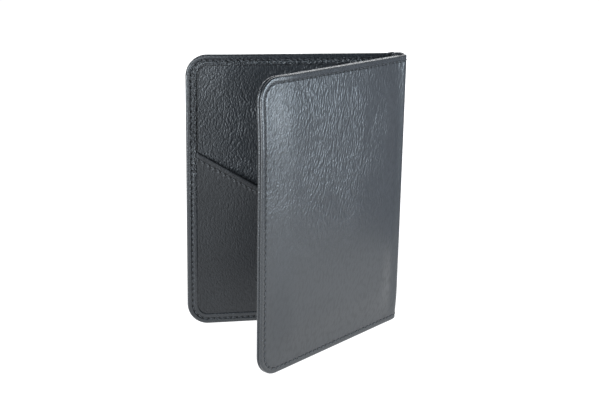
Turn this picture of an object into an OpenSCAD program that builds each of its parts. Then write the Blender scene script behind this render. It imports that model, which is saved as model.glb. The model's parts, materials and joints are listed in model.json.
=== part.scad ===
/* [Covers] */
// Height of both covers, measured along the spine
cover_h = 140; // [120:1:160]
// Length of each cover, from its fold line to its free edge
cover_l = 105; // [98:1:125]
// Radius of the two free corners of each cover
corner_r = 9.8; // [7:0.2:14]
// Distance between the two fold lines of the spine
spine_w = 10; // [9:0.5:16]
// Angle between the two covers as the holder stands
opening = 39; // [25:1:80]

/* [Layers] */
// Thickness of the outer leather
outer_t = 1.0; // [0.8:0.1:1.4]
// Thickness of the stiffener board in each cover
board_t = 0.5; // [0.4:0.1:0.8]
// Thickness of the thin leather that lines each cover
lining_t = 0.4; // [0.3:0.1:0.6]
// Thickness of the folded leather border round each cover's inside
border_t = 1.1; // [1.0:0.1:1.4]
// Width of that border
border_w = 5.3; // [5:0.1:7]

/* [Slanted pocket] */
// Thickness of the pocket's leather
pocket_t = 0.55; // [0.4:0.05:0.6]
// Thickness of the fabric glued behind it
pocket_cloth_t = 0.15; // [0.1:0.05:0.2]
// Height of the pocket's mouth where it meets the border
mouth_z = 91.5; // [80:0.5:110]
// Slope of the mouth, falling towards the spine
mouth_slope = 30.5; // [0:0.5:32]

/* [Card slots] */
// Thickness of a card slot's thin leather
slot_t = 0.4; // [0.3:0.05:0.4]
// Height of the strip that each slot shows
slot_step = 22; // [14:1:24]

/* [Stitching] */
// Distance from one stitch to the next
stitch_pitch = 3.0; // [2.5:0.1:4]
// Length of one stitch
stitch_l = 2.3; // [1.5:0.1:2.4]
// Thickness of the thread
thread_d = 0.5; // [0.4:0.1:0.6]
// Distance from a cover's edge to its seam
seam_inset = 2.7; // [2.4:0.1:3]

/* [Hidden] */
$fn = 48;

// Depths below the middle of the outer leather, growing towards the inside
board_d = outer_t / 2;
lining_d = board_d + board_t;
border_d = lining_d + lining_t;
inner_d = border_d + border_t;

// The folds: a gap clears the spine's rounded edge, and the inner layers stand further back
fold_gap = outer_t / 2 + 0.3;
stay_t = 0.3;
stay_inset = 2.5;
spine_lining_t = 0.4;
spine_inset = 0.6;
inner_gap = board_d + stay_t + spine_lining_t + 0.6;
board_inset = 0.8;
board_gap = 4;

// How far the pocket and the slots are caught under the border, and where they stop by the spine
pocket_tuck = 2.5;
slot_tuck = 1.5;
pocket_gap = 4;
slot_end = cover_l - border_w + slot_tuck;

// Seams lie in shallow grooves, so that the thread is flush with the leather
groove_d = 0.25;
groove_w = thread_d + 0.3;
mouth_seam_drop = 3.2;
slot_seam_u = pocket_gap + 2;
slot_overlap = 1;

// Turn of each fold, the fold lines in plan, and the middle of the standing holder's outline
turn = (180 - opening) / 2;
fold_b = [spine_w * cos(turn), -spine_w * sin(turn)];
max_x = fold_b[0] + outer_t / 2;
min_y = fold_b[1] - cover_l * sin(opening) - outer_t / 2 * cos(opening);
middle = [(max_x - cover_l) / 2, (min_y + outer_t / 2) / 2];

// A cover's own axes: X from its fold line to its free edge, Y into the holder, Z up
module in_back_cover() {
    translate([-middle[0], -middle[1], 0]) rotate([0, 0, 180]) children();
}

module in_front_cover() {
    translate([fold_b[0] - middle[0], fold_b[1] - middle[1], 0])
        rotate([0, 0, 180 + opening]) mirror([0, 1, 0]) children();
}

// The spine's own axes: X from the back fold to the front fold, Y into the holder, Z up
module in_spine() {
    translate([-middle[0], -middle[1], 0]) rotate([0, 0, -turn]) mirror([0, 1, 0]) children();
}

// Thickens an outline drawn in X and Z, from one depth inwards
module layer(depth, thick) {
    translate([0, depth + thick, 0]) rotate([90, 0, 0]) linear_extrude(thick) children();
}

// Outline of a cover's layer: square at the fold, rounded at the two free corners
module cover_outline(near, inset) {
    r = max(corner_r - inset, 0.5);
    far = cover_l - inset;
    translate([near, inset]) square([far - r - near, cover_h - 2 * inset]);
    translate([near, inset + r]) square([far - near, cover_h - 2 * inset - 2 * r]);
    for (z = [inset + r, cover_h - inset - r]) translate([far - r, z]) circle(r);
}

// Strip of the given width along the three free sides, centred on the seam
module seam_outline() {
    difference() {
        cover_outline(-1, seam_inset - groove_w / 2);
        cover_outline(-2, seam_inset + groove_w / 2);
    }
}

// One stitch along X, lying in its groove
module stitch(depth) {
    translate([-stitch_l / 2, depth, -thread_d / 2]) cube([stitch_l, groove_d, thread_d]);
}

// A straight row of stitches along X, evenly spaced at about the pitch
module stitch_row(length, depth) {
    count = round(length / stitch_pitch);
    for (i = [0 : count - 1]) translate([(i + 0.5) * length / count, 0, 0]) stitch(depth);
}

// Stitches round one corner, from the row along X to the row along Z
module stitch_arc(radius, depth) {
    count = round(radius * PI / 2 / stitch_pitch);
    for (i = [0 : count - 1]) rotate([0, -(i + 0.5) * 90 / count, 0])
        translate([0, 0, -radius]) stitch(depth);
}

// Stitches along the top, the bottom, the free edge and round its corners, at one depth
module edge_stitches(near, depth) {
    corner_x = cover_l - corner_r;
    for (top = [0, 1]) translate([0, 0, top * cover_h]) mirror([0, 0, top]) {
        translate([near, 0, seam_inset]) stitch_row(corner_x - near, depth);
        translate([corner_x, 0, corner_r]) stitch_arc(corner_r - seam_inset, depth);
    }
    translate([cover_l - seam_inset, 0, corner_r]) rotate([0, -90, 0])
        stitch_row(cover_h - 2 * corner_r, depth);
}

module outer_leather() {
    difference() {
        layer(-outer_t / 2, outer_t) cover_outline(fold_gap, 0);
        layer(-outer_t / 2, groove_d) seam_outline();
    }
}

module board() {
    layer(board_d, board_t) cover_outline(board_gap, board_inset);
}

module lining() {
    layer(lining_d, lining_t) cover_outline(inner_gap, board_inset);
}

// Border on three sides; its children are cut away where a pocket or the slots are caught
module border() {
    difference() {
        layer(border_d, border_t) difference() {
            cover_outline(inner_gap, 0);
            cover_outline(0, border_w);
        }
        layer(inner_d - groove_d, groove_d) seam_outline();
        children();
    }
}

// Height of the pocket's mouth at a distance from the fold
function mouth_at(x) = mouth_z - (cover_l - border_w - x) * tan(mouth_slope);

// Outline of the pocket: three sides run under the border, the fourth is the slanted mouth
module pocket_outline(below) {
    intersection() {
        cover_outline(pocket_gap, border_w - pocket_tuck);
        polygon([
            [0, 0],
            [cover_l, 0],
            [cover_l, mouth_at(cover_l) - below],
            [0, mouth_at(0) - below]
        ]);
    }
}

// The pocket's own stitches, below its slanted mouth and parallel to it
module mouth_stitches() {
    translate([pocket_gap, 0, mouth_at(pocket_gap) - mouth_seam_drop]) rotate([0, -mouth_slope, 0])
        stitch_row((cover_l - border_w - pocket_gap) / cos(mouth_slope),
            border_d + pocket_cloth_t + pocket_t);
}

// Section of a card slot in depth and height: a lip that stands off, and a skirt behind the next lip
module slot_section(top) {
    lip_d = border_d + slot_t;
    jog_z = top - slot_step;
    foot_z = jog_z - slot_step + slot_overlap;
    polygon([
        [border_d, foot_z],
        [lip_d, foot_z],
        [lip_d, jog_z],
        [lip_d + slot_t, jog_z],
        [lip_d + slot_t, top],
        [lip_d, top],
        [lip_d, jog_z + slot_t],
        [border_d, jog_z + slot_t]
    ]);
}

// Tops of the lowest and the highest slot
low_top = border_w - slot_tuck - slot_overlap + 2 * slot_step;
high_top = low_top + 2 * slot_step;

module card_slot(level) {
    translate([pocket_gap, 0, 0]) rotate([90, 0, 90])
        linear_extrude(slot_end - pocket_gap) slot_section(low_top + level * slot_step);
}

// Down the spine side of the three slots, on top of their lips
module slot_stitches() {
    foot_z = low_top - slot_step;
    translate([slot_seam_u, 0, foot_z]) rotate([0, -90, 0])
        stitch_row(high_top - foot_z, border_d + 2 * slot_t);
}

module spine_leather() {
    in_spine() linear_extrude(cover_h) {
        translate([0, -outer_t / 2]) square([spine_w, outer_t]);
        for (x = [0, spine_w]) translate([x, 0]) circle(outer_t / 2);
    }
}

module spine_stay() {
    stay_end = 6;
    in_spine() translate([stay_inset, board_d, stay_end])
        cube([spine_w - 2 * stay_inset, stay_t, cover_h - 2 * stay_end]);
}

module spine_lining() {
    in_spine() translate([spine_inset, board_d + stay_t, 0])
        cube([spine_w - 2 * spine_inset, spine_lining_t, cover_h]);
}

// The seam's few stitches across the spine, on the lining at the top and the bottom
module spine_stitches() {
    row_l = spine_w - 2 * spine_inset;
    in_spine() for (z = [seam_inset, cover_h - seam_inset])
        translate([spine_inset, 0, z]) stitch_row(row_l, board_d + stay_t + spine_lining_t);
}

module back_outer_leather() {
    color("#26282c") in_back_cover() outer_leather();
}

module back_board() {
    color("#8a8170") in_back_cover() board();
}

module back_lining() {
    color("#1f2125") in_back_cover() lining();
}

module back_pocket() {
    color("#232529") in_back_cover()
        layer(border_d + pocket_cloth_t, pocket_t) pocket_outline(0);
}

module back_pocket_cloth() {
    color("#17181b") in_back_cover() layer(border_d, pocket_cloth_t) pocket_outline(1);
}

module back_border() {
    color("#2a2c31") in_back_cover()
        border() layer(border_d, pocket_cloth_t + pocket_t) pocket_outline(0);
}

module back_edge_stitches() {
    color("#111214") in_back_cover() {
        edge_stitches(fold_gap, -outer_t / 2);
        edge_stitches(inner_gap, inner_d - groove_d);
    }
}

module back_mouth_stitches() {
    color("#111214") in_back_cover() mouth_stitches();
}

module front_outer_leather() {
    color("#2b2d32") in_front_cover() outer_leather();
}

module front_board() {
    color("#8a8170") in_front_cover() board();
}

module front_lining() {
    color("#1f2125") in_front_cover() lining();
}

module front_card_slot_low() {
    color("#232529") in_front_cover() card_slot(0);
}

module front_card_slot_middle() {
    color("#232529") in_front_cover() card_slot(1);
}

module front_card_slot_high() {
    color("#232529") in_front_cover() card_slot(2);
}

module front_border() {
    foot_z = border_w - slot_tuck;
    color("#2a2c31") in_front_cover() border()
        translate([pocket_gap, border_d, foot_z])
            cube([slot_end - pocket_gap, 2 * slot_t, high_top - foot_z]);
}

module front_edge_stitches() {
    color("#111214") in_front_cover() {
        edge_stitches(fold_gap, -outer_t / 2);
        edge_stitches(inner_gap, inner_d - groove_d);
    }
}

module front_slot_stitches() {
    color("#111214") in_front_cover() slot_stitches();
}

back_outer_leather();
back_board();
back_lining();
back_pocket();
back_pocket_cloth();
back_border();
back_edge_stitches();
back_mouth_stitches();
spine_leather();
spine_stay();
spine_lining();
spine_stitches();
front_outer_leather();
front_board();
front_lining();
front_card_slot_low();
front_card_slot_middle();
front_card_slot_high();
front_border();
front_edge_stitches();
front_slot_stitches();
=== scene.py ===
import json
import math
import bpy
import numpy as np
from mathutils import Matrix, Vector


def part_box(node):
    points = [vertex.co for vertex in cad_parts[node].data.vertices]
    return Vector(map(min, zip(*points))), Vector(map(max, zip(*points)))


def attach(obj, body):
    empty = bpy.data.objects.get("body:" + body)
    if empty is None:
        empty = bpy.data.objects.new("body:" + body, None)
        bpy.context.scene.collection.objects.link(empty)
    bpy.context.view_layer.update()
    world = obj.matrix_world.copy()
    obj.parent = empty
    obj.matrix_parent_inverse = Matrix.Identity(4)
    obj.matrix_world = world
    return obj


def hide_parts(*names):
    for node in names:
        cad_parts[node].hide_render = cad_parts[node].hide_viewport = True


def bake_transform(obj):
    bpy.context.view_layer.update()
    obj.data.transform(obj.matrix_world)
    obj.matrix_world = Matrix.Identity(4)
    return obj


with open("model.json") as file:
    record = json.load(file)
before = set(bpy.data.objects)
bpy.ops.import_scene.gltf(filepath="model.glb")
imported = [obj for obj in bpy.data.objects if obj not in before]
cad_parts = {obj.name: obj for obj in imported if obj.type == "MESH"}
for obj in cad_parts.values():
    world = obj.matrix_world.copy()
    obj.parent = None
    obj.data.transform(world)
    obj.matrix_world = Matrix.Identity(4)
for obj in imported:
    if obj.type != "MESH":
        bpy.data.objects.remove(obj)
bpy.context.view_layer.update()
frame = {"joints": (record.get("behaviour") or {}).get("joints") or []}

mm = 0.001
scene = bpy.context.scene

# The frame: two fold lines, the covers' size and how far each fold is turned while the holder stands
joints = {j["name"]: j for j in frame["joints"]}
foldTurn = math.radians(joints["spine_fold"]["range_deg"][1])
opening = math.pi - 2 * foldTurn
outerLow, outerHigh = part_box("back_outer_leather")
backFold = np.array(joints["spine_fold"]["pos_m"][:2])
frontFold = np.array(joints["front_fold"]["pos_m"][:2])
coverHigh = outerHigh.z
coverLong = backFold[0] - outerLow.x
spineWide = float(np.linalg.norm(frontFold - backFold))

# Depths below the middle of the outer leather, growing towards the inside of the holder
outerFace = backFold[1] - outerHigh.y
boardTop = backFold[1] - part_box("back_board")[1].y
liningOuter = backFold[1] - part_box("back_lining")[1].y
liningInner = backFold[1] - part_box("back_lining")[0].y
pocketOuter = backFold[1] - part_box("back_pocket")[1].y
pocketInner = backFold[1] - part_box("back_pocket")[0].y
borderInner = backFold[1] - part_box("back_border")[0].y

# Each cover's own axes: along runs from its fold to its free edge, inward to the inside of the holder.
# The front is a mirror image, so its faces are turned round; sign lets the grain run on across the spine
sides = {
    "Back": dict(body="back_cover", fold=backFold, along=(-1.0, 0.0), inward=(0.0, -1.0),
                 flip=False, sign=-1, curl=-1.0 * mm, longer=0.0),
    "Front": dict(body="front_cover", fold=frontFold,
                  along=(-math.cos(opening), -math.sin(opening)),
                  inward=(-math.sin(opening), math.cos(opening)),
                  flip=True, sign=1, curl=1.2 * mm, longer=0.5 * mm),
}

shape = dict(
    cornerRadius=10.8 * mm,   # the two free corners of each cover
    bendHalf=1.2 * mm,        # half the length of leather that each fold takes
    bendReach=1.8 * mm,       # how far to each side of a fold the leather still gives
    seamInset=2.7 * mm,       # from the cover's edge to its seam
    stitchPitch=3.0 * mm,
    borderWide=5.3 * mm,
    edgeLip=0.9 * mm,         # how far in the turned-over edges reach
    spineRise=0.9 * mm,       # how much higher the spine stands, and how far from its middle that is lost
    riseReach=9 * mm,
    spineBulge=1.05 * mm,     # how far the spine swells outwards, level at first, then lost by the reach
    bulgeLevel=2 * mm,
    bulgeReach=12 * mm,
    footBulge=0.35,           # the share of the bulge that is left at the spine's foot
    footHigh=16 * mm,
    curlReach=22 * mm,        # the free top corners have been bent a little by use
    curlDrop=35.2 * mm,
    longerReach=30 * mm,      # the stretch of a cover over which its extra length is spread
)


def smooth(x, low, high):
    # Smoothstep: the share t of the way from low to high, held to 0..1, then three t squared less two t
    # cubed
    t = np.clip((x - low) / (high - low), 0, 1)
    return t * t * (3 - 2 * t)


def rounded(distance, rim):
    # A quarter circle: nothing on the very edge, the full rim once the distance from the edge is the
    # rim's radius
    return rim * np.sqrt(np.clip(1 - np.clip(1 - distance / rim, 0, 1) ** 2, 0, 1))


# On the sheet, q runs along the leather from the middle of the spine to the free edge, and z upwards

def layPath():
    # The leather leaves the spine at the fold's turn and eases to the cover's line as a smoothstep of its
    # length; the running sum of its heading gives the path in the cover's own axes
    half = shape["bendHalf"]
    run = np.linspace(0, 2 * half, 121)
    ramp = run / (2 * half)
    heading = foldTurn * (1 - ramp * ramp * (3 - 2 * ramp))
    middle = (heading[1:] + heading[:-1]) / 2
    step = run[1] - run[0]
    across = np.concatenate([[0], np.cumsum(np.cos(middle)) * step])
    down = np.concatenate([[0], -np.cumsum(np.sin(middle)) * step])
    lead = -down[-1] / math.sin(foldTurn)
    bendStart = spineWide / 2 - lead
    startU, startV = -math.cos(foldTurn) * lead, math.sin(foldTurn) * lead
    spineU, spineV = -math.cos(foldTurn) * spineWide / 2, math.sin(foldTurn) * spineWide / 2
    far = bendStart + 2 * half + coverLong - lead
    return dict(
        q=np.concatenate([[0], bendStart + run, [far]]),
        u=np.concatenate([[spineU], startU + across, [coverLong]]),
        v=np.concatenate([[spineV], startV + down, [0]]),
        heading=np.concatenate([[foldTurn], heading, [0]]),
        bendStart=bendStart, bendEnd=bendStart + 2 * half, far=far, shift=far - coverLong)


path = layPath()
sheetLong = path["far"]
coverStart = path["shift"]    # add it to a distance from the fold line to get q


def place(side, q, z, depth):
    # A point of the path at q, moved inwards by depth along the path's normal, at height z. The spine's
    # rise and bulge and the curled corner are smoothsteps of q and z added to the height and the depth
    z = z + shape["spineRise"] * (1 - smooth(q, 0, shape["riseReach"]))
    curl = smooth(q, sheetLong - shape["curlReach"], sheetLong)
    curl = curl * smooth(z, coverHigh - shape["curlDrop"], coverHigh)
    bulge = shape["spineBulge"] * (1 - smooth(q, shape["bulgeLevel"], shape["bulgeReach"]))
    bulge = bulge * (shape["footBulge"] + (1 - shape["footBulge"]) * smooth(z, 0, shape["footHigh"]))
    depth = depth + sides[side]["curl"] * curl - bulge
    heading = np.interp(q, path["q"], path["heading"])
    u = np.interp(q, path["q"], path["u"]) + depth * np.sin(heading)
    u = u + sides[side]["longer"] * smooth(q, sheetLong - shape["longerReach"], sheetLong)
    v = np.interp(q, path["q"], path["v"]) + depth * np.cos(heading)
    fold, along, inward = (sides[side][k] for k in ("fold", "along", "inward"))
    x = fold[0] + u * along[0] + v * inward[0]
    y = fold[1] + u * along[1] + v * inward[1]
    return np.stack([x, y, z + 0 * x], -1)


def roundCorners(q, z, inset):
    # The two corner squares at the free edge are pressed into quarter discs: each side of the square is
    # shortened by the root of one less half the other side's square
    r = shape["cornerRadius"] - inset
    far, low, high = sheetLong - inset, inset, coverHigh - inset
    p = np.clip((q - (far - r)) / r, 0, 1)
    outQ, outZ = q.copy(), z.copy()
    for edge, sign in ((low, 1), (high, -1)):
        t = np.clip((edge + sign * r - z) * sign / r, 0, 1)
        corner = (p > 0) & (t > 0)
        outQ = np.where(corner, far - r + r * p * np.sqrt(1 - t * t / 2), outQ)
        outZ = np.where(corner, edge + sign * (r - r * t * np.sqrt(1 - p * p / 2)), outZ)
    return outQ, outZ


def seamPlace(q, z):
    # How far along the seam a point lies, and how far in from the cover's outline: straight along the three
    # sides, and an angle times the seam's radius round the corners
    r, seamR = shape["cornerRadius"], shape["cornerRadius"] - shape["seamInset"]
    cornerQ = sheetLong - r
    arc = seamR * math.pi / 2
    dq = q - cornerQ
    dLow, dHigh, dFar = z, coverHigh - z, sheetLong - q
    lowCorner = (dq > 0) & (z < r)
    highCorner = (dq > 0) & (z > coverHigh - r)
    lowAngle = np.arctan2(dq, r - z)
    highAngle = np.arctan2(dq, z - (coverHigh - r))
    total = 2 * cornerQ + 2 * arc + coverHigh - 2 * r
    nearFar = (dFar < dLow) & (dFar < dHigh)
    nearLow = dLow <= dHigh
    s = np.select(
        [lowCorner, highCorner, nearFar, nearLow],
        [cornerQ + lowAngle * seamR, total - cornerQ - highAngle * seamR, cornerQ + arc + z - r, q],
        total - q)
    d = np.select(
        [lowCorner, highCorner],
        [r - np.hypot(dq, r - z), r - np.hypot(dq, z - (coverHigh - r))],
        np.minimum(np.minimum(dLow, dHigh), dFar))
    return s, np.maximum(d, 0)


def seamPoint(s, inset):
    # The other way round: the outline moved in by inset, at a length s along the seam counted from the
    # spine's foot. Straight runs and two quarter turns are laid end to end by clipping s to each
    r, seamR = shape["cornerRadius"], shape["cornerRadius"] - shape["seamInset"]
    cornerQ, arc, side = sheetLong - r, seamR * math.pi / 2, coverHigh - 2 * r
    a1 = np.clip((s - cornerQ) / seamR, 0, math.pi / 2)
    a2 = np.clip((s - cornerQ - arc - side) / seamR, 0, math.pi / 2)
    back = np.clip(s - cornerQ - 2 * arc - side, 0, None)
    angle = a1 + a2
    up = np.clip(s - cornerQ - arc, 0, side)
    q = np.minimum(s, cornerQ) + (r - inset) * np.sin(angle) - back
    z = r + up - (r - inset) * np.cos(angle)
    return q, z


seamLong = 2 * (sheetLong - shape["cornerRadius"]) + coverHigh - 2 * shape["cornerRadius"] \
    + math.pi * (shape["cornerRadius"] - shape["seamInset"])
stitchCount = round(seamLong / shape["stitchPitch"])
seamPitch = seamLong / stitchCount


def waves(q, z, seed, size, count=7):
    # Slow unevenness of hand-pressed leather: the mean of a few sine waves of random heading, about size
    # long
    rng = np.random.default_rng(seed)
    total = np.zeros(np.broadcast(q, z).shape)
    for _ in range(count):
        heading = rng.uniform(0, math.pi)
        perMetre = rng.uniform(0.6, 1.5) * 2 * math.pi / size
        phase = rng.uniform(0, 6.28)
        total += np.sin((q * math.cos(heading) + z * math.sin(heading)) * perMetre + phase)
    return total / count


def makeMesh(name, points, faces, flat, seam, flip):
    # Puts points and faces into a mesh with two flat maps in millimetres: the place on the sheet, and the
    # place along the seam with the distance in from the edge
    if flip:
        faces = [f[:, ::-1] if isinstance(f, np.ndarray) else [g[::-1] for g in f] for f in faces]
    polygons = [row for f in faces for row in (f.tolist() if isinstance(f, np.ndarray) else f)]
    mesh = bpy.data.meshes.new(name)
    mesh.from_pydata(points.tolist(), [], polygons)
    for label, values in (("flatPlace", flat), ("seamPlace", seam)):
        data = mesh.attributes.new(label, "FLOAT_VECTOR", "POINT").data
        packed = np.zeros((len(points), 3), np.float32)
        packed[:, :2] = np.asarray(values).reshape(-1, 2) / mm
        data.foreach_set("vector", packed.ravel())
    mesh.polygons.foreach_set("use_smooth", np.ones(len(polygons), bool))
    mesh.set_sharp_from_angle(angle=math.radians(60))
    mesh.validate()
    obj = bpy.data.objects.new(name, mesh)
    scene.collection.objects.link(obj)
    return obj


def gridQuads(index):
    # Four-sided faces between neighbouring rows and columns of a grid of point numbers
    return np.stack([index[:-1, :-1], index[1:, :-1], index[1:, 1:], index[:-1, 1:]], -1).reshape(-1, 4)


def plate(name, side, qGrid, zGrid, depths, weldStart=True, ownSeam=None):
    # Two sheets over one grid, the outer and the inner face, welded along their outline; an unwelded
    # start is closed by a strip across the cut
    s, d = seamPlace(qGrid, zGrid)
    outer, inner = depths(qGrid, zGrid, s, d)
    rows, columns = qGrid.shape
    edge = np.zeros((rows, columns), bool)
    edge[-1, :] = edge[:, 0] = edge[:, -1] = True
    edge[0, :] |= weldStart
    first = np.arange(rows * columns).reshape(rows, columns)
    second = first.copy()
    second[~edge] = rows * columns + np.arange((~edge).sum())
    outer = np.where(edge, (outer + inner) / 2, outer)
    points = np.concatenate([place(side, qGrid, zGrid, outer).reshape(-1, 3),
                             place(side, qGrid, zGrid, inner)[~edge]])
    flat = np.stack([qGrid * sides[side]["sign"], zGrid], -1)
    seam = np.stack(ownSeam(qGrid, zGrid) if ownSeam else (s, d), -1)
    faces = [gridQuads(first), gridQuads(second)[:, ::-1]]
    if not weldStart:
        cut = np.stack([first[0, :-1], first[0, 1:], second[0, 1:], second[0, :-1]], -1)
        ends = [[c for i, c in enumerate(row) if c not in row[:i]] for row in cut[[0, -1]].tolist()]
        faces += [cut[1:-1], ends]
    return makeMesh(name, points, faces,
                    np.concatenate([flat.reshape(-1, 2), flat[~edge]]),
                    np.concatenate([seam.reshape(-1, 2), seam[~edge]]), sides[side]["flip"])


def sweep(name, side, stations, profile):
    # A closed profile of inset and depth carried round the outline, capped at both ends; the profile may
    # change on the way
    inset, depth = profile(stations[:, None])
    inset, depth = np.broadcast_arrays(inset, depth)
    s = np.broadcast_to(stations[:, None], inset.shape)
    q, z = seamPoint(s, inset)
    index = np.arange(s.size).reshape(s.shape)
    index = np.concatenate([index, index[:, :1]], 1)
    faces = [gridQuads(index)[:, ::-1], [index[0, :-1].tolist(), index[-1, :-1][::-1].tolist()]]
    return makeMesh(name, place(side, q, z, depth).reshape(-1, 3), faces,
                    np.stack([q * sides[side]["sign"], z], -1), np.stack([s, inset], -1), sides[side]["flip"])


def threads(name, side, starts, look, across, toSheet):
    # Each stitch is a short round bar with tapered ends: rings of six points round a line that arches
    # over the leather as a cosine and slants across the seam, all in the seam's own axes, then laid on
    # the sheet
    ring = np.arange(6) * math.pi / 3
    along = np.array([-1.0, -0.86, -0.4, 0.4, 0.86, 1.0])
    girth = np.array([0.35, 0.85, 1.0, 1.0, 0.85, 0.35])
    half, radius = look["length"] / 2, look["thick"] / 2
    ds = (along * half)[:, None] + 0 * ring
    dw = girth[:, None] * radius * np.cos(ring) + look["slant"] * (along * half)[:, None]
    dd = girth[:, None] * radius * np.sin(ring) - look["arch"] * np.cos(along * math.pi / 2)[:, None]
    s = starts[:, None, None] + ds
    w, depth = across + dw + 0 * s, look["depth"] + look["out"] * -dd + 0 * s
    q, z = toSheet(s, w)
    index = np.arange(s.size).reshape(s.shape)
    closed = np.concatenate([index, index[:, :, :1]], 2)
    quads = np.stack([closed[:, :-1, :-1], closed[:, 1:, :-1], closed[:, 1:, 1:], closed[:, :-1, 1:]], -1)
    ends = index[:, 0, ::-1].tolist() + index[:, -1, :].tolist()
    faces = [quads.reshape(-1, 4), ends]
    return makeMesh(name, place(side, q, z, depth).reshape(-1, 3), faces,
                    np.stack([q, z], -1), np.stack([s, w], -1), look["flip"] ^ sides[side]["flip"])


def lines(start, end, fine, coarse, band, rim=0.0, rimStart=True, rimEnd=True):
    # Grid lines from start to end: fine within the band at each end, coarse between, and over a rounded
    # rim set at the cosine's own steps
    curl = rim * (1 - np.cos(np.linspace(0, math.pi / 2, 6)))[:-1]
    head = start + (curl if rimStart and rim else np.array([]))
    tail = end - (curl[::-1] if rimEnd and rim else np.array([]))
    a = start + (rim if rimStart else 0)
    b = end - (rim if rimEnd else 0)
    low = np.linspace(a, start + band, max(2, round(band / fine)), endpoint=False)
    high = np.linspace(end - band, b, max(2, round(band / fine)) + 1)
    steps = max(2, round((end - start - 2 * band) / coarse))
    inner = np.linspace(start + band, end - band, steps, endpoint=False)
    return np.concatenate([head, low, inner, high, tail])


def bendLines(rim):
    # Close lines over the spine and the fold, then a cover's own spacing to the free edge
    pastBend = path["bendEnd"] + 3 * mm
    bend = np.linspace(0, pastBend, 22, endpoint=False)
    rest = lines(pastBend, sheetLong, 0.5 * mm, 1.5 * mm, 12 * mm, rim, rimStart=False)
    return np.concatenate([bend, rest])


def newMaterial(name):
    # An empty node tree with one principled shader on its output
    material = bpy.data.materials.new(name)
    material.use_nodes = True
    tree = material.node_tree
    tree.nodes.clear()
    output = tree.nodes.new("ShaderNodeOutputMaterial")
    shader = tree.nodes.new("ShaderNodeBsdfPrincipled")
    tree.links.new(shader.outputs[0], output.inputs["Surface"])
    return material, tree, shader


def node(tree, kind, settings=None, **values):
    # Adds a node; a value that is a socket is linked, any other is set, and i0, i1 and so on are sockets
    # by number
    made = tree.nodes.new("ShaderNode" + kind)
    for key, value in (settings or {}).items():
        setattr(made, key, value)
    for key, value in values.items():
        socket = made.inputs[int(key[1:])] if key[0] == "i" and key[1:].isdigit() else made.inputs[key]
        if isinstance(value, bpy.types.NodeSocket):
            tree.links.new(value, socket)
        else:
            socket.default_value = value
    return made


def calc(tree, operation, a, b=0.0, c=0.0):
    return node(tree, "Math", dict(operation=operation), i0=a, i1=b, i2=c).outputs[0]


def mixColours(tree, share, low, high):
    # Goes from the low colour to the high one by share; either may be a fixed colour or another node's
    made = node(tree, "Mix", dict(data_type="RGBA"), i0=share)
    for number, colour in ((6, low), (7, high)):
        if isinstance(colour, bpy.types.NodeSocket):
            tree.links.new(colour, made.inputs[number])
        else:
            made.inputs[number].default_value = (*colour, 1)
    return made.outputs[2]


def ramp(tree, value, low, high, outLow=0.0, outHigh=1.0):
    # The smoothstep of a value between low and high, from outLow to outHigh
    made = node(tree, "MapRange", dict(interpolation_type="SMOOTHSTEP"), Value=value)
    for key, number in (("From Min", low), ("From Max", high), ("To Min", outLow), ("To Max", outHigh)):
        made.inputs[key].default_value = number
    return made.outputs[0]


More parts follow.
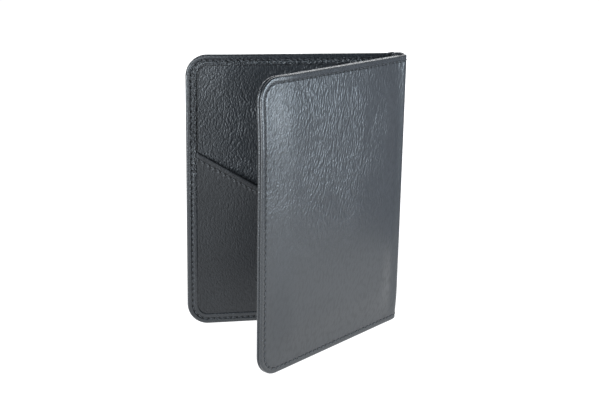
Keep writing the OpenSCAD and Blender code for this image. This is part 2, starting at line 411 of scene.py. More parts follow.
def leatherMaterial(name, look):
    # Black leather: wrinkles, pebbles and pores as heights one over the other, faded by place, with the
    # seam's holes and puckers. The heights also set how pale and how rough each spot is
    material, tree, shader = newMaterial(name)
    flat = node(tree, "Attribute", dict(attribute_name="flatPlace")).outputs["Vector"]
    seam = node(tree, "Attribute", dict(attribute_name="seamPlace")).outputs["Vector"]
    flatXyz = node(tree, "SeparateXYZ", Vector=flat)
    seamXyz = node(tree, "SeparateXYZ", Vector=seam)
    along, inset = seamXyz.outputs[0], seamXyz.outputs[1]

    def noise(vector, scale, detail, output="Fac"):
        made = node(tree, "TexNoise", dict(noise_dimensions="2D"), Vector=vector, Scale=scale, Detail=detail)
        return made.outputs[output]

    def bend(vector, by, size):
        shift = node(tree, "VectorMath", dict(operation="SUBTRACT"), i0=by, i1=(0.5, 0.5, 0.5)).outputs[0]
        return node(tree, "VectorMath", dict(operation="MULTIPLY_ADD"), i0=shift, i1=(size,) * 3,
                    i2=vector).outputs[0]

    def cells(vector, wide, long, lean, soft):
        # Rounded cells with creases between them: one less the squared distance to the cell's middle
        turned = node(tree, "Mapping", dict(vector_type="TEXTURE"), Vector=vector)
        turned.inputs["Rotation"].default_value = (0, 0, math.radians(lean))
        turned.inputs["Scale"].default_value = (wide, long, 1)
        found = node(tree, "TexVoronoi", dict(voronoi_dimensions="2D", feature="SMOOTH_F1"),
                     Vector=turned.outputs[0], Scale=1.0, Smoothness=soft, Randomness=0.95)
        return calc(tree, "SUBTRACT", 1.0, calc(tree, "POWER", found.outputs["Distance"], 1.5))

    # The grain's field is bent by slow noise, so no two wrinkles run alike
    bent = bend(flat, noise(flat, look["swayPerMm"], 2.0, "Color"), look["sway"])
    bent = bend(bent, noise(flat, look["wobblePerMm"], 2.0, "Color"), look["wobble"])

    # Long wrinkles, small pebbles between them and fine pores
    wrinkle = cells(bent, look["wrinkleWide"], look["wrinkleLong"], look["lean"], look["soft"])
    pebble = cells(bent, look["pebble"], look["pebble"] * 1.5, look["pebbleLean"], look["soft"])
    pores = noise(flat, look["poresPerMm"], 3.0)
    patches = noise(flat, look["patchesPerMm"], 1.0)
    loose = noise(bent, look["loosePerMm"], 2.0)

    # Strong where the hide was loose, nearly smooth where it was stretched and rubbed
    upper = ramp(tree, flatXyz.outputs[1], look["smoothBelow"], look["grainAbove"], look["least"], 1.0)
    fromSpine = calc(tree, "ABSOLUTE", flatXyz.outputs[0])
    towardsFree = ramp(tree, fromSpine, look["spineSmooth"], look["spineGrain"], look["spineLeast"], 1.0)
    band = ramp(tree, inset, look["bandEnd"], look["bandEnd"] + 0.6, look["bandGrain"], 1.0)
    mask = calc(tree, "MULTIPLY", calc(tree, "MULTIPLY", upper, towardsFree), band)
    mask = calc(tree, "MULTIPLY", mask, ramp(tree, patches, 0.3, 0.7, 0.7, 1.15))
    lift = calc(tree, "MULTIPLY", mask, ramp(tree, loose, 0.3, 0.7, look["looseLeast"], 1.15))
    free = ramp(tree, fromSpine, look["pebbleFrom"], look["pebbleFrom"] + look["pebbleFade"])
    wrinkleHeight = calc(tree, "MULTIPLY", calc(tree, "MULTIPLY", wrinkle, lift),
                         calc(tree, "SUBTRACT", 1.0, calc(tree, "MULTIPLY", free, look["pebbleTakes"])))
    pebbleHeight = calc(tree, "MULTIPLY", pebble, ramp(tree, free, 0.0, 1.0, 0.75, 1.3))
    pebbleHeight = calc(tree, "MULTIPLY", pebbleHeight, ramp(tree, mask, 0.0, 1.0, look["pebbleLeast"], 1.0))

    # The seam draws the leather in: holes at the pitch, and puckers that run in from them
    phase = calc(tree, "MULTIPLY", along, 2 * math.pi * mm / seamPitch)
    beat = calc(tree, "COSINE", phase)
    fromSeam = calc(tree, "SUBTRACT", inset, shape["seamInset"] / mm)
    reach = calc(tree, "MULTIPLY", ramp(tree, fromSeam, 0.0, 0.5),
                 ramp(tree, fromSeam, 0.8, look["puckerReach"], 1.0, 0.0))
    pucker = calc(tree, "MULTIPLY", calc(tree, "MULTIPLY", beat, upper), reach)
    hole = calc(tree, "MULTIPLY", ramp(tree, beat, 0.45, 0.85),
                ramp(tree, calc(tree, "ABSOLUTE", fromSeam), 0.25, 0.6, 1.0, 0.0))

    # Colour: painted shade darkens the valleys, a painted highlight pales the crests, painted shadow blackens
    # the holes
    # crest paints shade into the valleys and a highlight onto the crests; the patches are real tone
    crest = ramp(tree, wrinkle, 0.35, 0.95)
    tone = calc(tree, "ADD", calc(tree, "MULTIPLY", crest, 0.6), calc(tree, "MULTIPLY", patches, 0.4))
    colour = mixColours(tree, tone, look["dark"], look["pale"])
    wornAndShaded = mixColours(tree, ramp(tree, inset, 0.0, 0.9, look["edgeWear"], 0.0), colour, look["edge"])
    # the holes get a near-black painted shadow in their colour
    tree.links.new(mixColours(tree, hole, wornAndShaded, look["holeColour"]), shader.inputs["Base Color"])

    # Rougher in the valleys and the holes, polished along the edge by handling
    rough = calc(tree, "ADD", ramp(tree, crest, 0.0, 1.0, look["rough"] + look["valleyRough"], look["rough"]),
                 calc(tree, "MULTIPLY", calc(tree, "SUBTRACT", pores, 0.5), 0.16))
    rough = calc(tree, "ADD", rough, calc(tree, "MULTIPLY", hole, 0.3))
    rough = calc(tree, "SUBTRACT", rough, ramp(tree, inset, 1.0, look["bandEnd"], look["polish"], 0.0))
    tree.links.new(rough, shader.inputs["Roughness"])

    # Heights in metres, largest first
    bumps = (
        (wrinkleHeight, look["wrinkleDeep"]), (pebbleHeight, look["pebbleDeep"]),
        (pores, look["poreDeep"]), (pucker, look["puckerDeep"]), (hole, -look["holeDeep"]))
    normal = None
    for height, deep in bumps:
        bump = node(tree, "Bump", Height=height, Distance=abs(deep), Strength=1.0)
        bump.invert = deep < 0
        if normal is not None:
            tree.links.new(normal, bump.inputs["Normal"])
        normal = bump.outputs[0]
    tree.links.new(normal, shader.inputs["Normal"])
    shader.inputs["IOR"].default_value = look["ior"]
    shader.inputs["Specular Tint"].default_value = (*look["tint"], 1)
    shader.inputs["Coat Weight"].default_value = look["coat"]
    shader.inputs["Coat Roughness"].default_value = look["coatRough"]
    return material


# Lengths without mm are in millimetres on the sheet, as the two flat maps are
coverLook = dict(
    dark=(0.0085, 0.0092, 0.0105), pale=(0.0180, 0.0195, 0.0220), edge=(0.028, 0.030, 0.033), edgeWear=0.35,
    rough=0.31, valleyRough=0.12, polish=0.10, ior=1.50, tint=(0.96, 0.98, 1.0), coat=0.22, coatRough=0.22,
    wrinkleWide=1.25, wrinkleLong=3.3, wrinkleDeep=0.34 * mm, lean=17, sway=3.0, wobble=0.35, soft=0.10,
    pebble=0.85, pebbleLean=38, pebbleDeep=0.12 * mm, poreDeep=0.02 * mm, pebbleLeast=0.07,
    pebbleFrom=70, pebbleTakes=0.45,
    smoothBelow=25.0, grainAbove=100.0, least=0.03, spineSmooth=0.0, spineGrain=50.0, spineLeast=0.30,
    bandEnd=2.7, bandGrain=0.12, puckerReach=6.0, puckerDeep=0.03 * mm, looseLeast=0.75, pebbleFade=22,
    swayPerMm=0.045, wobblePerMm=0.35, poresPerMm=2.6, patchesPerMm=0.05, loosePerMm=0.22,
    # near-black painted shadow in the seam's holes
    holeColour=(0.002, 0.002, 0.002), holeDeep=0.25 * mm,
)
liningLook = dict(
    coverLook, dark=(0.007, 0.008, 0.0095), pale=(0.016, 0.018, 0.021), edgeWear=0.0, rough=0.31, coat=0.12,
    wrinkleWide=1.0, wrinkleLong=1.75, wrinkleDeep=0.25 * mm, lean=-6, sway=3.0, wobble=0.35, polish=0.0,
    soft=0.12,
    smoothBelow=-10.0, grainAbove=20.0, least=0.8, spineLeast=0.9, pebbleLeast=0.8, pebbleTakes=0.0,
    pebble=0.7, pebbleDeep=0.11 * mm, bandGrain=1.0, puckerDeep=0.0001 * mm,
)
borderLook = dict(
    liningLook, edge=(0.026, 0.028, 0.031), edgeWear=0.3, rough=0.27, pebble=0.75, pebbleDeep=0.38 * mm,
    wrinkleDeep=0.34 * mm, puckerDeep=0.14 * mm, puckerReach=3.2, smoothBelow=40.0, grainAbove=105.0,
    least=0.12, pebbleLeast=0.12, polish=0.08, bandEnd=1.3, bandGrain=0.06,
)
pocketLook = dict(
    liningLook, wrinkleDeep=0.10 * mm, pebbleDeep=0.08 * mm, rough=0.36, coat=0.05, ior=1.42, edgeWear=0.3,
    dark=(0.006, 0.0063, 0.007), pale=(0.014, 0.0147, 0.0165), puckerDeep=0.13 * mm, puckerReach=1.9,
)


def threadMaterial(look):
    # Twisted thread: a fine slanting stripe that follows each stitch
    material, tree, shader = newMaterial("blackThread")
    seam = node(tree, "Attribute", dict(attribute_name="seamPlace")).outputs["Vector"]
    turned = node(tree, "Mapping", Vector=seam)
    turned.inputs["Rotation"].default_value = (0, 0, math.radians(look["twist"]))
    wave = node(tree, "TexWave", Vector=turned.outputs[0], Scale=look["plies"], Distortion=0.6)
    stripe = wave.outputs["Fac"]
    tree.links.new(mixColours(tree, stripe, look["dark"], look["pale"]), shader.inputs["Base Color"])
    tree.links.new(ramp(tree, stripe, 0, 1, 0.50, 0.36), shader.inputs["Roughness"])
    bump = node(tree, "Bump", Height=stripe, Distance=0.03 * mm, Strength=0.8)
    tree.links.new(bump.outputs[0], shader.inputs["Normal"])
    return material


def clothMaterial(look):
    # Plain weave: two crossed waves, one over the other
    material, tree, shader = newMaterial("liningCloth")
    flat = node(tree, "Attribute", dict(attribute_name="flatPlace")).outputs["Vector"]
    warp = node(tree, "TexWave", dict(bands_direction="X"), Vector=flat, Scale=look["threads"]).outputs["Fac"]
    weft = node(tree, "TexWave", dict(bands_direction="Y"), Vector=flat, Scale=look["threads"]).outputs["Fac"]
    weave = calc(tree, "MULTIPLY", warp, weft)
    tree.links.new(mixColours(tree, weave, look["dark"], look["pale"]), shader.inputs["Base Color"])
    bump = node(tree, "Bump", Height=weave, Distance=0.05 * mm, Strength=0.7)
    tree.links.new(bump.outputs[0], shader.inputs["Normal"])
    shader.inputs["Roughness"].default_value = 0.8
    shader.inputs["Sheen Weight"].default_value = 0.15
    return material


def boardMaterial(look):
    # Grey board: pressed fibres in two tones, matt
    material, tree, shader = newMaterial("greyBoard")
    spot = node(tree, "TexCoord").outputs["Object"]
    fibre = node(tree, "TexNoise", Vector=spot, Scale=look["fibre"], Detail=6.0).outputs["Fac"]
    tree.links.new(mixColours(tree, fibre, look["dark"], look["pale"]), shader.inputs["Base Color"])
    bump = node(tree, "Bump", Height=fibre, Distance=0.03 * mm, Strength=0.6)
    tree.links.new(bump.outputs[0], shader.inputs["Normal"])
    shader.inputs["Roughness"].default_value = 0.9
    return material


coverLeather = leatherMaterial("coverLeather", coverLook)
liningLeather = leatherMaterial("liningLeather", liningLook)
borderLeather = leatherMaterial("borderLeather", borderLook)
pocketLeather = leatherMaterial("pocketLeather", pocketLook)
blackThread = threadMaterial(dict(dark=(0.014, 0.015, 0.017), pale=(0.045, 0.048, 0.054),
                                  twist=35, plies=1.2))
liningCloth = clothMaterial(dict(dark=(0.004, 0.004, 0.005), pale=(0.014, 0.014, 0.016), threads=1.1))
greyBoard = boardMaterial(dict(dark=(0.22, 0.19, 0.15), pale=(0.36, 0.31, 0.25), fibre=900))
print("materials made")


def bendWith(piece, sideName):
    # A chord along a level line through the fold, the difference of the two unit vectors that run from the
    # fold to the free edge and to the middle of the spine, is worked out but not used; the piece is only
    # baked in place
    side = sides[sideName]
    fold, along = side["fold"], np.array(side["along"])
    toSpine = (backFold + frontFold) / 2 - fold
    chord = along - toSpine / np.linalg.norm(toSpine)
    chord = chord / np.linalg.norm(chord) * shape["bendReach"]
    if sideName == "Back":
        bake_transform(piece)
    else:
        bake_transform(piece)


def finishPiece(piece, material):
    # Gives a piece its material
    piece.data.materials.append(material)


outer = dict(
    crown=1.0 * mm,           # how far the leather swells over the board
    swell=20.0 * mm,          # how far in from the seam the swell is full
    spineFlat=14 * mm,        # how far past the fold the swell starts
    groove=0.20 * mm,         # the seam draws the leather in
    grooveWide=0.65 * mm,
    uneven=0.10 * mm,
    unevenSize=55 * mm,
)


def makeOuterLeather(sideName, seed):
    # Half the spine and one cover: the outer face is a rounded edge, a bell-shaped seam groove, a swell
    # made of smoothsteps in from the seams, and slow waves; the inner face lies on the board behind a
    # turned-over lip
    rim = (liningOuter - outerFace) / 2
    middle = outerFace + rim

    def depths(q, z, s, d):
        curl = rounded(d, rim)
        over = d - shape["seamInset"]
        flatSpine = smooth(q, path["bendEnd"], path["bendEnd"] + outer["spineFlat"])
        fromFree = smooth(sheetLong - shape["seamInset"] - q, 0, outer["swell"])
        fromEnds = smooth(np.minimum(z, coverHigh - z) - shape["seamInset"], 0, outer["swell"])
        crown = outer["crown"] * fromFree * fromEnds * flatSpine
        groove = outer["groove"] * np.exp(-(over / outer["grooveWide"]) ** 2 * 2)
        uneven = outer["uneven"] * waves(q, z, seed, outer["unevenSize"])
        uneven = uneven * smooth(d, 3 * mm, 15 * mm) * flatSpine
        face = middle - curl - crown + groove + uneven
        lip = smooth(d, shape["edgeLip"] - 0.1 * mm, shape["edgeLip"] + 0.1 * mm)
        inner = middle + curl * (1 - lip) + (boardTop - middle - 0.02 * mm) * lip
        return face, inner

    q, z = np.meshgrid(bendLines(rim), lines(0, coverHigh, 0.5 * mm, 1.5 * mm, 12 * mm, rim), indexing="ij")
    piece = plate("outerLeather" + sideName, sideName, *roundCorners(q, z, 0), depths, weldStart=False)
    finishPiece(piece, coverLeather)
    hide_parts(sideName.lower() + "_outer_leather", "spine_leather")
    bendWith(piece, sideName)


lining = dict(
    inset=1.0 * mm,           # its cut edge lies this far in, under the border
    uneven=0.07 * mm,
    unevenSize=40 * mm,
    mostUneven=0.04 * mm,     # it never lifts more than this off the board
)


def makeLining(sideName, seed):
    # Half the spine and one cover's inside: two faces with a rounded edge, the inner one raised by slow
    # waves
    rim = (liningInner - liningOuter) / 2
    middle = liningOuter + rim

    def depths(q, z, s, d):
        curl = rounded(d - lining["inset"], rim)
        uneven = lining["uneven"] * waves(q, z, seed, lining["unevenSize"]) * smooth(d, 5 * mm, 12 * mm)
        return middle - curl, middle + curl + np.minimum(uneven, lining["mostUneven"])

    inset = lining["inset"]
    q = bendLines(rim) * (sheetLong - inset) / sheetLong
    z = lines(inset, coverHigh - inset, 0.8 * mm, 1.8 * mm, 9 * mm, rim)
    q, z = np.meshgrid(q, z, indexing="ij")
    piece = plate("lining" + sideName, sideName, *roundCorners(q, z, inset), depths, weldStart=False)
    finishPiece(piece, liningLeather)
    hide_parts(sideName.lower() + "_lining", "spine_lining")
    bendWith(piece, sideName)


board = dict(
    inset=1.0 * mm,
    spineGap=4.0 * mm,        # left free beside the fold
    edgeRound=0.1 * mm,
    stayThick=0.25 * mm,      # the card in the spine, short of the ends
    stayShort=6 * mm,
)


def makeBoard(sideName):
    # Two flat faces between the leather and the lining, cut square at the fold, with a hardly rounded edge
    inset, rim = board["inset"], board["edgeRound"]
    halfThick, middle = (liningOuter - boardTop) / 2, (boardTop + liningOuter) / 2

    def depths(q, z, s, d):
        edge = np.minimum(d - inset, q - coverStart - board["spineGap"])
        curl = rounded(edge, rim) / rim * halfThick
        return middle - curl, middle + curl

    q = lines(coverStart + board["spineGap"], sheetLong - inset, 0.8 * mm, 3 * mm, 9 * mm, rim)
    z = lines(inset, coverHigh - inset, 0.8 * mm, 3 * mm, 9 * mm, rim)
    q, z = np.meshgrid(q, z, indexing="ij")
    piece = plate("board" + sideName, sideName, *roundCorners(q, z, inset), depths)
    finishPiece(piece, greyBoard)
    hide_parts(sideName.lower() + "_board")
    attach(piece, sides[sideName]["body"])


def makeStay():
    # A thin card between the spine's two skins, in two halves that meet at its middle: two level faces
    def depths(q, z, s, d):
        return boardTop + 0 * q, boardTop + board["stayThick"] + 0 * q

    for sideName in sides:
        q = np.linspace(0, path["bendStart"], 3)
        z = np.linspace(board["stayShort"], coverHigh - board["stayShort"], 30)
        q, z = np.meshgrid(q, z, indexing="ij")
        piece = plate("stay" + sideName, sideName, q, z, depths, weldStart=False)
        finishPiece(piece, greyBoard)
        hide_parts("spine_stay")
        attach(piece, "spine")


border = dict(
    groove=0.42 * mm,         # the seam's groove, a ridge outside it and puckers inside it
    grooveWide=0.55 * mm,
    ridge=0.06 * mm,
    ridgeInset=1.5 * mm,
    ridgeWide=0.7 * mm,
    pucker=0.07 * mm,
    puckerWide=0.9 * mm,
    foldRound=0.55 * mm,      # the inner fold's radius
    clear=0.02 * mm,          # between the strip and what it lies on
    pressed=0.42,             # how much thinner the strip is where it goes round a fold
    pressedReach=2.5 * mm,
)


def makeBorder(sideName):
    wide, lip, high = shape["borderWide"], shape["edgeLip"], borderInner
    low, under = liningOuter + border["clear"], liningInner + border["clear"]
    rim = (high - low) / 2

    def profile(s):
        # Half a circle round the outer edge, a level top, a quarter circle down the inner fold and back
        # underneath. Bell curves make the groove, the ridge and the puckers, and the puckers beat as a
        # cosine at the pitch
        turnOut = np.linspace(-math.pi / 2, math.pi / 2, 11)
        edgeInset, edgeDepth = rim * (1 - np.cos(turnOut)), low + rim + rim * np.sin(turnOut)
        top = np.linspace(rim, wide - border["foldRound"], 18)[1:-1]
        turnIn = np.linspace(0, math.pi / 2, 6)
        foldInset = wide - border["foldRound"] * (1 - np.sin(turnIn))
        foldDepth = high - border["foldRound"] * (1 - np.cos(turnIn))
        inset = np.concatenate([edgeInset, top, foldInset, [wide, lip + 0.3 * mm, lip + 0.1 * mm]])
        depth = np.concatenate([edgeDepth, 0 * top + high, foldDepth, [under, under, low]])
        over = inset - shape["seamInset"]
        face = ((depth > high - 0.35 * rim) & (inset > rim * 0.6)).astype(float)
        groove = border["groove"] * np.exp(-(over / border["grooveWide"]) ** 2 * 2)
        beat = np.cos(2 * math.pi * s / seamPitch)
        drawn = np.exp(-((over - border["puckerWide"]) / border["puckerWide"]) ** 2)
        drawn = border["pucker"] * (0.5 - 0.5 * beat) * drawn
        ridge = border["ridge"] * np.exp(-((inset - border["ridgeInset"]) / border["ridgeWide"]) ** 2)
        depth = depth + face * (drawn + ridge - groove)
        fromMiddle = np.minimum(s, seamLong - s)
        bent = smooth(fromMiddle, path["bendStart"] - border["pressedReach"], path["bendStart"])
        bent = bent * (1 - smooth(fromMiddle, path["bendEnd"], path["bendEnd"] + border["pressedReach"]))
        return inset, low + (depth - low) * (1 - border["pressed"] * bent)

    stations = np.linspace(0, seamLong, stitchCount * 6 + 1)
    piece = sweep("border" + sideName, sideName, stations, profile)
    finishPiece(piece, borderLeather)
    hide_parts(sideName.lower() + "_border")
    bendWith(piece, sideName)


thread = dict(
    length=2.0 * mm,
    thick=0.62 * mm,
    slant=0.12,               # how far each stitch turns from the seam's line
    arch=0.13 * mm,           # how high its middle stands
    sink=0.06 * mm,           # how far its ends stand off the groove's floor
)


def makeEdgeStitches(sideName):
    # One row on the outside and one on the inside, half a pitch from the seam's holes. A thread's out is
    # 1 where outwards means deeper, and -1 on the outer face
    starts = (np.arange(stitchCount) + 0.5) * seamPitch
    for face, depth, out in (("Outer", outerFace + outer["groove"] - thread["sink"], -1),
                             ("Inner", borderInner - border["groove"] + thread["sink"], 1)):
        look = dict(thread, depth=depth, out=out, flip=out > 0)
        piece = threads("stitches" + face + sideName, sideName, starts, look, shape["seamInset"], seamPoint)
        finishPiece(piece, blackThread)
        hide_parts(sideName.lower() + "_edge_stitches", "spine_stitches")
        bendWith(piece, sideName)


pocketLow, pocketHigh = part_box("back_pocket")
pocket = dict(
    slope=math.radians(30.5),
    spineSide=4 * mm,         # from the fold to the pocket's open side
    tuck=1.3 * mm,            # how far the pocket goes under the border
    bow=4.2 * mm,             # how far the mouth stands off the lining
    bowReach=60 * mm,         # the bow is full this far from the free edge
    foldThick=0.35 * mm,      # the mouth's leather is turned over as far as the fold's end
    foldEnd=(3.6 * mm, 4.4 * mm),
    seamDrop=3.3 * mm,        # from the mouth straight down to its seam, which starts in from the open side
    seamStart=1.5 * mm,
    groove=0.22 * mm,
    grooveWide=0.5 * mm,
    clothDrop=1.2 * mm,       # the cloth ends below the mouth
)
# The mouth's seam has a whole number of stitches between the open side and the border
mouthLong = sheetLong - shape["borderWide"] - coverStart - pocket["spineSide"] - pocket["seamStart"]
mouthLong = mouthLong / math.cos(pocket["slope"])
mouthCount = round(mouthLong / shape["stitchPitch"])
mouthPitch = mouthLong / mouthCount


def mouthHeight(q):
    # A straight line through the pocket's outer top corner, falling towards the spine
    return pocketHigh.z - (coverStart + backFold[0] - pocketLow.x - q) * math.tan(pocket["slope"])


def pocketBow(q, z):
    # Held along the bottom and the free edge: the bow is a power of the share of the height, times a
    # quarter sine in from the free edge, times a smoothstep that eases it at the open side
    up = np.clip((z - shape["borderWide"]) / (mouthHeight(q) - shape["borderWide"]), 0, 1.05)
    free = np.clip((sheetLong - shape["borderWide"] - q) / pocket["bowReach"], 0, 1)
    eased = 0.35 + 0.65 * smooth(q, coverStart + pocket["spineSide"], coverStart + 26 * mm)
    return pocket["bow"] * up ** 1.6 * np.sin(free * math.pi / 2) ** 1.1 * eased


def mouthSeam(q, z):
    # Place along the mouth's own seam: the point turned by the slope, with the seam at the same pitch and
    # the same distance in as a cover's seam
    down = (mouthHeight(q) - z) * math.cos(pocket["slope"])
    run = (q - coverStart - pocket["spineSide"] - pocket["seamStart"]) / math.cos(pocket["slope"])
    run = run - (mouthHeight(q) - z) * math.sin(pocket["slope"])
    down = down - pocket["seamDrop"] * math.cos(pocket["slope"]) + shape["seamInset"]
    return run * seamPitch / mouthPitch, down


def makePocket():
    # The leather and the cloth behind it: a grid whose rows run from the bottom up to the slanting mouth,
    # with a rounded edge and the bow. The leather also has the turned-over mouth and the seam's
    # bell-shaped groove
    low = shape["borderWide"] - pocket["tuck"]
    startQ = coverStart + pocket["spineSide"]
    endQ = sheetLong - shape["borderWide"] + pocket["tuck"]
    across = np.linspace(0, 1, 90)
    clothOuter, clothInner = liningInner + 0.02 * mm, pocketOuter - 0.01 * mm
    for name, near, far, drop, material, slot, standsFor in (
            ("slantedPocket", pocketOuter, pocketInner, 0.0, pocketLeather, "pocket_leather", "back_pocket"),
            ("pocketCloth", clothOuter, clothInner, pocket["clothDrop"], liningCloth, "lining_cloth",
             "back_pocket_cloth")):
        rim = (far - near) / 2
        up = lines(0, 1, 0.01, 0.025, 0.12, rim / (60 * mm))
        a, b = np.meshgrid(across, up, indexing="ij")
        q = startQ + a * (endQ - startQ)
        top = mouthHeight(q) - drop
        z = low + b * (top - low)
        isLeather = standsFor == "back_pocket"

        def depths(q, z, s, d):
            edge = np.minimum.reduce([q - startQ, endQ - q, z - low, mouthHeight(q) - drop - z])
            curl = rounded(edge, rim)
            middle = (near + far) / 2 + pocketBow(q, z)
            below = mouthHeight(q) - z
            fold = pocket["foldThick"] * (1 - smooth(below, *pocket["foldEnd"])) * smooth(edge, 0, 0.5 * mm)
            groove = pocket["groove"] * np.exp(-((below - pocket["seamDrop"]) / pocket["grooveWide"]) ** 2)
            return middle - curl, middle + curl + (fold - groove if isLeather else 0)

        piece = plate(name, "Back", q, z, depths, ownSeam=mouthSeam)
        finishPiece(piece, material)
        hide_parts(standsFor)
        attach(piece, "back_cover")


def makeMouthStitches():
    # A row of stitches laid flat along the slope, then lifted by the same bow as the pocket
    slope = pocket["slope"]
    startQ = coverStart + pocket["spineSide"] + pocket["seamStart"]
    starts = (np.arange(mouthCount) + 0.5) * mouthPitch

    def toSheet(s, w):
        q = startQ + s * math.cos(slope) + w * math.sin(slope)
        return q, mouthHeight(startQ) + s * math.sin(slope) - w * math.cos(slope)

    look = dict(thread, depth=0.0, out=1, flip=False)
    row = threads("stitchesMouth", "Back", starts, look, pocket["seamDrop"] * math.cos(slope), toSheet)
    points = np.empty(len(row.data.vertices) * 3)
    row.data.vertices.foreach_get("co", points)
    points = points.reshape(-1, 3)
    q = coverStart + backFold[0] - points[:, 0]
    grooveFloor = pocketInner + pocket["foldThick"] - pocket["groove"] + thread["sink"]
    points[:, 1] -= grooveFloor + pocketBow(q, points[:, 2])
    row.data.vertices.foreach_set("co", points.ravel())
    finishPiece(row, blackThread)
    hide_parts("back_mouth_stitches")
    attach(row, "back_cover")


makeStay()
for number, sideName in enumerate(sides):
    makeBoard(sideName)
    makeOuterLeather(sideName, 11 + number)
    makeLining(sideName, 21 + number)
    makeBorder(sideName)
    makeEdgeStitches(sideName)
    print(sideName, "cover made")
makePocket()
makeMouthStitches()
print("slanted pocket made")

slots = dict(
    names=("low", "middle", "high"),
    thick=0.4 * mm,
    lip=22 * mm,              # how much of each slot shows above the one in front
    swell=0.5 * mm,
    foldThick=0.25 * mm,      # each top edge is turned over
    foldWide=4 * mm,
    spineSide=4 * mm,
    tuck=1.3 * mm,
    seamSide=2 * mm,          # from the slots' open side to the seam that closes them
)


def makeCardSlots():
    # Three overlapping panels: each steps out over the one below by its own thickness as a smoothstep of
    # the height, swells between its ends as a half sine, and has a rounded edge and a thicker turned-over
    # top
    startQ = coverStart + slots["spineSide"]
    endQ = sheetLong - shape["borderWide"] + slots["tuck"]
    for name in slots["names"]:
        nodeName = "front_card_slot_" + name
        low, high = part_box(nodeName)
        jog = high.z - slots["lip"]
        across = np.linspace(0, 1, 70)
        up = lines(low.z, high.z, 0.4 * mm, 1.0 * mm, 3 * mm, slots["thick"] / 2)
        up = np.unique(np.concatenate([up, np.linspace(jog - 1 * mm, jog + 1.5 * mm, 10)]))
        a, z = np.meshgrid(across, up, indexing="ij")
        q = startQ + a * (endQ - startQ)

        def depths(q, z, s, d):
            edge = np.minimum.reduce([q - startQ, endQ - q, z - low.z, high.z - z])
            rim = slots["thick"] / 2
            curl = rounded(edge, rim)
            stand = slots["thick"] * smooth(z, jog - 0.2 * mm, jog + 0.6 * mm)
            swell = slots["swell"] * smooth(z, jog + 2 * mm, high.z) * np.sin(a * math.pi) ** 0.7
            foldEnd = high.z - slots["foldWide"]
            fold = smooth(z, foldEnd - 0.3 * mm, foldEnd + 0.3 * mm) * smooth(edge, 0, 0.4 * mm)
            fold = slots["foldThick"] * fold
            middle = liningInner + 0.05 * mm + rim + stand + swell
            return middle - curl, middle + curl + fold

        piece = plate("cardSlot" + name.capitalize(), "Front", q, z, depths)
        finishPiece(piece, pocketLeather)
        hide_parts(nodeName)
        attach(piece, "front_cover")


def makeSlotStitches():
    # An upright row beside the fold, through all three slots
    low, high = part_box("front_slot_stitches")
    seamQ = coverStart + slots["spineSide"] + slots["seamSide"]
    count = round((high.z - low.z) / shape["stitchPitch"])
    starts = low.z + (np.arange(count) + 0.5) * (high.z - low.z) / count
    look = dict(thread, depth=liningInner + 2 * slots["thick"] + 0.12 * mm, out=1, flip=False)
    piece = threads("stitchesSlots", "Front", starts, look, 0.0, lambda s, w: (seamQ + w, s))
    finishPiece(piece, blackThread)
    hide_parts("front_slot_stitches")
    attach(piece, "front_cover")


makeCardSlots()
makeSlotStitches()
print("card slots made")


def makeFloor(look):
    # A large pale sheet that gives off its own light
    bpy.ops.mesh.primitive_plane_add(size=look["size"], location=(0, 0, -0.0002))
    floor = bpy.context.object
    floor.name = "floor"
    material, tree, shader = newMaterial("litPaper")
    shader.inputs["Base Color"].default_value = (*look["colour"], 1)
    shader.inputs["Roughness"].default_value = 0.75
    shader.inputs["Emission Color"].default_value = (1, 1, 1, 1)
    shader.inputs["Emission Strength"].default_value = look["glow"]
    floor.data.materials.append(material)


def addSoftbox(name, look):
    # A rectangle of light turned towards its aim
    light = bpy.data.lights.new(name, "AREA")
    light.shape = "RECTANGLE"
    light.size, light.size_y = look["size"]
    light.energy = look["power"]
    light.color = look["colour"]
    lamp = bpy.data.objects.new(name, light)
    scene.collection.objects.link(lamp)
    lamp.location = look["place"]
    aim = Vector(look["aim"]) - Vector(look["place"])
    lamp.rotation_euler = aim.to_track_quat("-Z", "Y").to_euler()
    lamp.visible_camera = False


def addCard(name, look):
    # A card standing beside the holder, that keeps the lit floor beyond it out of the cover's sheen
    start, end = look["line"]
    points = [(*start, 0.001), (*end, 0.001), (*end, look["high"]), (*start, look["high"])]
    mesh = bpy.data.meshes.new(name)
    mesh.from_pydata(points, [], [(0, 1, 2, 3)])
    card = bpy.data.objects.new(name, mesh)
    scene.collection.objects.link(card)
    material, tree, shader = newMaterial(name)
    shader.inputs["Base Color"].default_value = (*look["colour"], 1)
    shader.inputs["Roughness"].default_value = 1.0
    mesh.materials.append(material)
    card.visible_camera = False


def makeWorld(look):
    # A dim, even surround
    world = bpy.data.worlds.new("studio")
    scene.world = world
    world.use_nodes = True
    background = world.node_tree.nodes["Background"]
    background.inputs[0].default_value = (*look["colour"], 1)
    background.inputs[1].default_value = look["strength"]


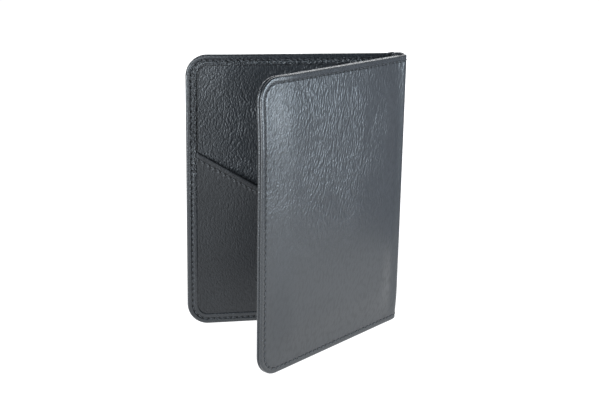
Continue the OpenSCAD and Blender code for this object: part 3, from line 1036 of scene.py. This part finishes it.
def makeCamera(look):
    # Turned by yaw about the upright, then tipped by pitch and rolled
    data = bpy.data.cameras.new("camera")
    data.lens, data.sensor_width = look["lens"], 36
    data.clip_start, data.clip_end = 0.01, 100
    camera = bpy.data.objects.new("camera", data)
    scene.collection.objects.link(camera)
    turns = (("Z", look["yaw"]), ("X", 90 + look["pitch"]), ("Z", look["roll"]))
    matrix = Matrix.Translation(look["place"])
    for axis, degrees in turns:
        matrix = matrix @ Matrix.Rotation(math.radians(degrees), 4, axis)
    camera.matrix_world = matrix
    scene.camera = camera


coolWhite = (0.86, 0.94, 1.0)
softboxes = dict(
    right=dict(place=(0.36, -0.22, 0.16), aim=(0, 0, 0.11), size=(0.12, 0.22),
               power=1.8, colour=(0.76, 0.89, 1.0)),
    topRight=dict(place=(0.68, 0.12, 0.55), aim=(0, 0, 0.14), size=(0.3, 0.3),
                  power=0.5, colour=(0.90, 0.96, 1.0)),
    left=dict(place=(-0.55, -0.50, 0.34), aim=(0, 0, 0.10), size=(0.20, 0.20),
              power=5.2, colour=coolWhite),
    lowLeft=dict(place=(-0.55, -0.50, 0.05), aim=(0, 0, 0.12), size=(0.45, 0.08),
                 power=3.0, colour=coolWhite),
    glare=dict(place=(0.30, -0.125, 0.07), aim=(-0.02, -0.02, 0.11), size=(0.03, 0.08),
               power=0.12, colour=coolWhite),
    topFront=dict(place=(-0.35, -0.80, 0.60), aim=(0, 0, 0.08), size=(0.25, 0.25),
                  power=3.3, colour=coolWhite),
    front=dict(place=(-0.05, -1.0, 0.17), aim=(0, 0, 0.10), size=(0.3, 0.2),
               power=0.9, colour=coolWhite),
    backdrop=dict(place=(0.1, 1.2, 0.45), aim=(0, 0, 0.12), size=(1.8, 0.9),
                  power=18, colour=(0.96, 0.98, 1.0)),
)
makeFloor(dict(size=30, colour=(0.25, 0.25, 0.25), glow=1.02))
makeWorld(dict(colour=(0.92, 0.97, 1.0), strength=0.06))
addCard("rightGreyCard", dict(line=((0.28, -0.09), (0.10, 0.15)), high=0.18, colour=(0.33, 0.34, 0.37)))
for boxName, look in softboxes.items():
    addSoftbox(boxName + "Softbox", look)
makeCamera(dict(place=(-0.1035, -0.5190, 0.2209), yaw=-10.93, pitch=-15.44, roll=1.035, lens=68.5))
scene.view_settings.view_transform = "Standard"
print("studio made")
